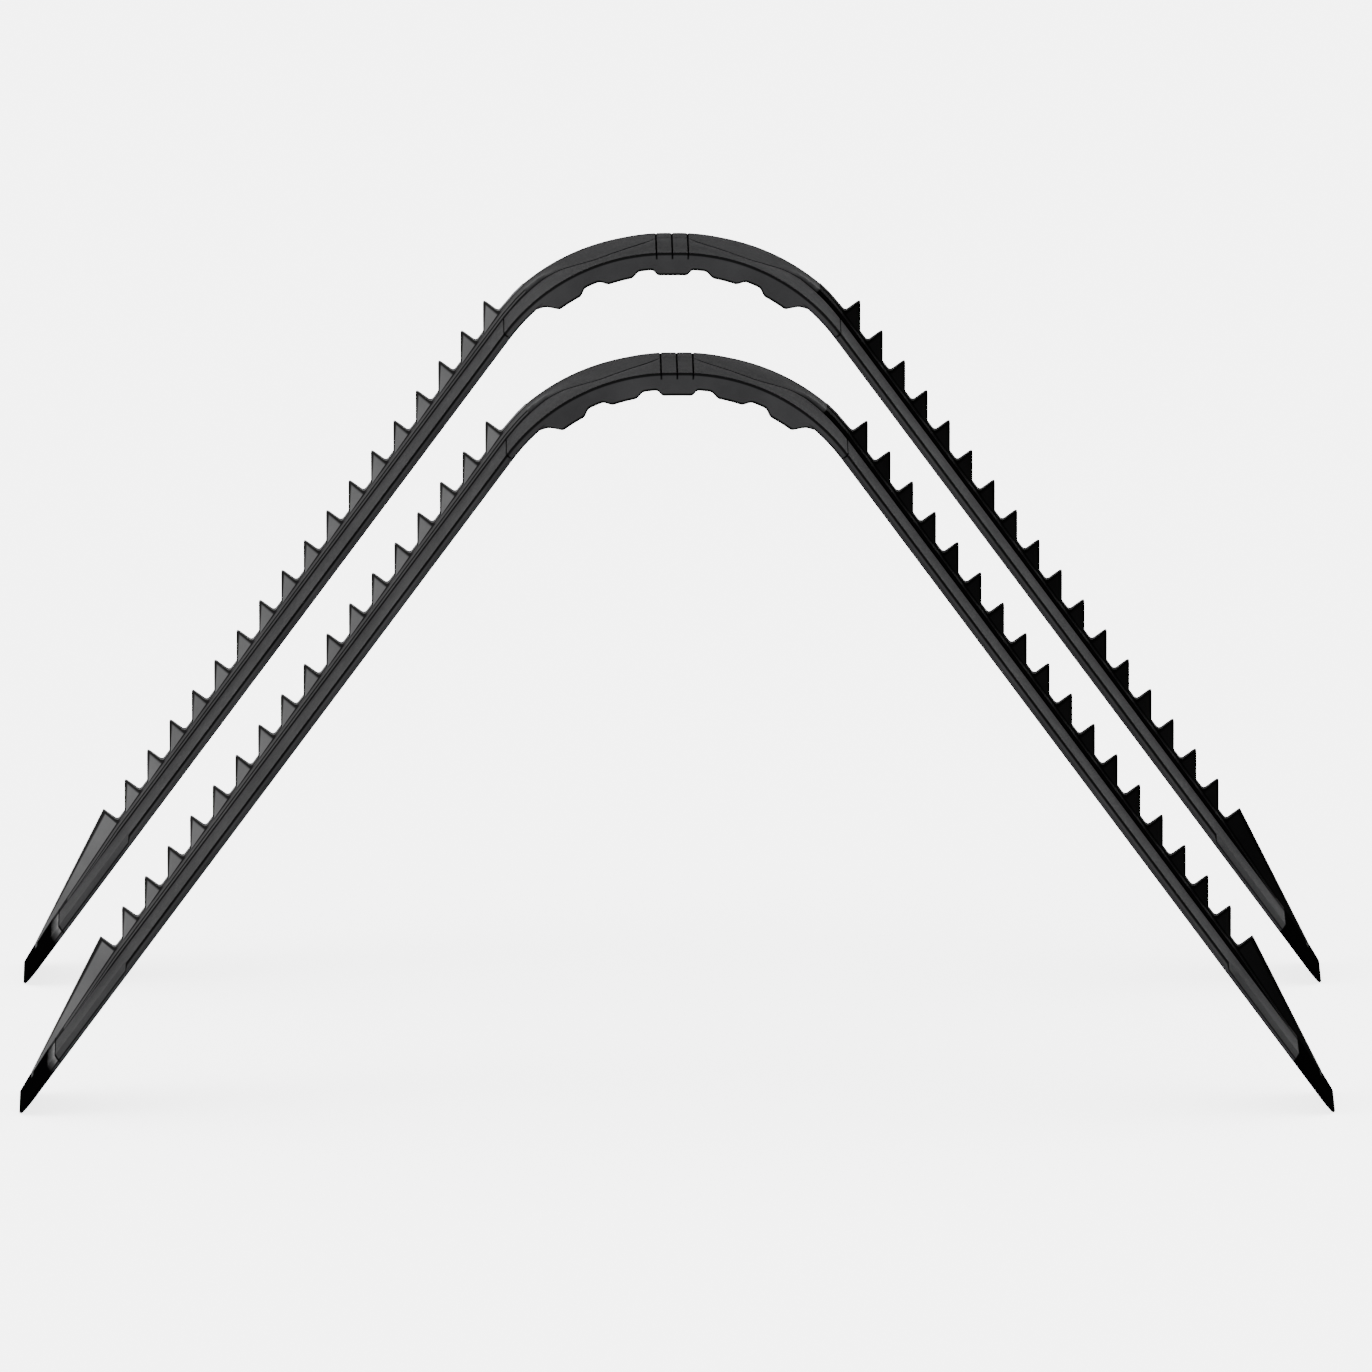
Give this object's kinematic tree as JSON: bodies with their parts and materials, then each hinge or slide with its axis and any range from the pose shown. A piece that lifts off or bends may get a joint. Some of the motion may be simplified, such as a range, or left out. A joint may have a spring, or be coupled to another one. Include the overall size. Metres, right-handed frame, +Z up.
{
  "type": "rubber track pair",
  "caption": "Pair of open-ended rubber tracks bent over a drive-wheel crown, with inner drive lugs and a saw-toothed tread rib along one edge of each straight run.",
  "frame": {"origin": "centre of the rectangle that the four run tips stand in, on the ground", "axes": "+X along the tracks, +Y across them from the near track to the far one, +Z up to the crowns"},
  "size_m": [1.4844, 1.2, 0.8453],
  "materials": {
    "belt_rubber": "matt moulded black rubber",
    "liner_rubber": "matt moulded black rubber, smooth",
    "lug_rubber": "matt moulded black rubber, polished where the wheel runs",
    "tread_rubber": "matt moulded black rubber, worn at the tooth tips",
    "core_steel": "forged steel, as bonded into the rubber",
    "cord_steel": "brass-washed stranded steel"
  },
  "bodies": {
    "near_crown": {"near_crown_cover": "belt_rubber", "near_crown_lug": "lug_rubber", "near_crown_core": "core_steel", "near_crown_cords": "cord_steel"},
    "near_left_link_1": {"near_left_link_1_cover": "belt_rubber", "near_left_link_1_lug": "lug_rubber", "near_left_link_1_core": "core_steel", "near_left_link_1_cords": "cord_steel"},
    "near_left_link_2": {"near_left_link_2_cover": "belt_rubber", "near_left_link_2_lug": "lug_rubber", "near_left_link_2_core": "core_steel", "near_left_link_2_cords": "cord_steel"},
    "near_left_run": {"near_left_run_cover": "belt_rubber", "near_left_run_liner": "liner_rubber", "near_left_run_rib": "tread_rubber", "near_left_run_cords": "cord_steel"},
    "near_right_link_1": {"near_right_link_1_cover": "belt_rubber", "near_right_link_1_lug": "lug_rubber", "near_right_link_1_core": "core_steel", "near_right_link_1_cords": "cord_steel"},
    "near_right_link_2": {"near_right_link_2_cover": "belt_rubber", "near_right_link_2_lug": "lug_rubber", "near_right_link_2_core": "core_steel", "near_right_link_2_cords": "cord_steel"},
    "near_right_run": {"near_right_run_cover": "belt_rubber", "near_right_run_liner": "liner_rubber", "near_right_run_rib": "tread_rubber", "near_right_run_cords": "cord_steel"},
    "far_crown": {"far_crown_cover": "belt_rubber", "far_crown_lug": "lug_rubber", "far_crown_core": "core_steel", "far_crown_cords": "cord_steel"},
    "far_left_link_1": {"far_left_link_1_cover": "belt_rubber", "far_left_link_1_lug": "lug_rubber", "far_left_link_1_core": "core_steel", "far_left_link_1_cords": "cord_steel"},
    "far_left_link_2": {"far_left_link_2_cover": "belt_rubber", "far_left_link_2_lug": "lug_rubber", "far_left_link_2_core": "core_steel", "far_left_link_2_cords": "cord_steel"},
    "far_left_run": {"far_left_run_cover": "belt_rubber", "far_left_run_liner": "liner_rubber", "far_left_run_rib": "tread_rubber", "far_left_run_cords": "cord_steel"},
    "far_right_link_1": {"far_right_link_1_cover": "belt_rubber", "far_right_link_1_lug": "lug_rubber", "far_right_link_1_core": "core_steel", "far_right_link_1_cords": "cord_steel"},
    "far_right_link_2": {"far_right_link_2_cover": "belt_rubber", "far_right_link_2_lug": "lug_rubber", "far_right_link_2_core": "core_steel", "far_right_link_2_cords": "cord_steel"},
    "far_right_run": {"far_right_run_cover": "belt_rubber", "far_right_run_liner": "liner_rubber", "far_right_run_rib": "tread_rubber", "far_right_run_cords": "cord_steel"}
  },
  "joints": [
    {"name": "near_left_unbend", "type": "hinge", "parent": "near_crown", "child": "near_left_link_1", "pos_m": [-0.03118, -0.51, 0.84008], "axis": [0, 1, 0], "range_deg": [-3, 17.8]},
    {"name": "near_left_flex_2", "type": "hinge", "parent": "near_left_link_1", "child": "near_left_link_2", "pos_m": [-0.09782, -0.51, 0.82253], "axis": [0, 1, 0], "range_deg": [-3, 17.8]},
    {"name": "near_left_flex_3", "type": "hinge", "parent": "near_left_link_2", "child": "near_left_run", "pos_m": [-0.1561, -0.51, 0.78576], "axis": [0, 1, 0], "range_deg": [-3, 17.8]},
    {"name": "near_right_unbend", "type": "hinge", "parent": "near_crown", "child": "near_right_link_1", "pos_m": [0.03118, -0.51, 0.84008], "axis": [0, -1, 0], "range_deg": [-3, 17.8]},
    {"name": "near_right_flex_2", "type": "hinge", "parent": "near_right_link_1", "child": "near_right_link_2", "pos_m": [0.09782, -0.51, 0.82253], "axis": [0, -1, 0], "range_deg": [-3, 17.8]},
    {"name": "near_right_flex_3", "type": "hinge", "parent": "near_right_link_2", "child": "near_right_run", "pos_m": [0.1561, -0.51, 0.78576], "axis": [0, -1, 0], "range_deg": [-3, 17.8]},
    {"name": "far_left_unbend", "type": "hinge", "parent": "far_crown", "child": "far_left_link_1", "pos_m": [-0.03118, 0.51, 0.84008], "axis": [0, 1, 0], "range_deg": [-3, 17.8]},
    {"name": "far_left_flex_2", "type": "hinge", "parent": "far_left_link_1", "child": "far_left_link_2", "pos_m": [-0.09782, 0.51, 0.82253], "axis": [0, 1, 0], "range_deg": [-3, 17.8]},
    {"name": "far_left_flex_3", "type": "hinge", "parent": "far_left_link_2", "child": "far_left_run", "pos_m": [-0.1561, 0.51, 0.78576], "axis": [0, 1, 0], "range_deg": [-3, 17.8]},
    {"name": "far_right_unbend", "type": "hinge", "parent": "far_crown", "child": "far_right_link_1", "pos_m": [0.03118, 0.51, 0.84008], "axis": [0, -1, 0], "range_deg": [-3, 17.8]},
    {"name": "far_right_flex_2", "type": "hinge", "parent": "far_right_link_1", "child": "far_right_link_2", "pos_m": [0.09782, 0.51, 0.82253], "axis": [0, -1, 0], "range_deg": [-3, 17.8]},
    {"name": "far_right_flex_3", "type": "hinge", "parent": "far_right_link_2", "child": "far_right_run", "pos_m": [0.1561, 0.51, 0.78576], "axis": [0, -1, 0], "range_deg": [-3, 17.8]},
    {"name": "track_gauge", "type": "slide", "parent": "near_crown", "child": "far_crown", "axis": [0, 1, 0], "range_m": [-0.3, 0.6]}
  ],
  "couplings": [
    {"joint": "near_left_flex_2", "follows": "near_left_unbend", "ratio": 1},
    {"joint": "near_left_flex_3", "follows": "near_left_unbend", "ratio": 1},
    {"joint": "near_right_flex_2", "follows": "near_right_unbend", "ratio": 1},
    {"joint": "near_right_flex_3", "follows": "near_right_unbend", "ratio": 1},
    {"joint": "far_left_flex_2", "follows": "far_left_unbend", "ratio": 1},
    {"joint": "far_left_flex_3", "follows": "far_left_unbend", "ratio": 1},
    {"joint": "far_right_flex_2", "follows": "far_right_unbend", "ratio": 1},
    {"joint": "far_right_flex_3", "follows": "far_right_unbend", "ratio": 1}
  ]
}
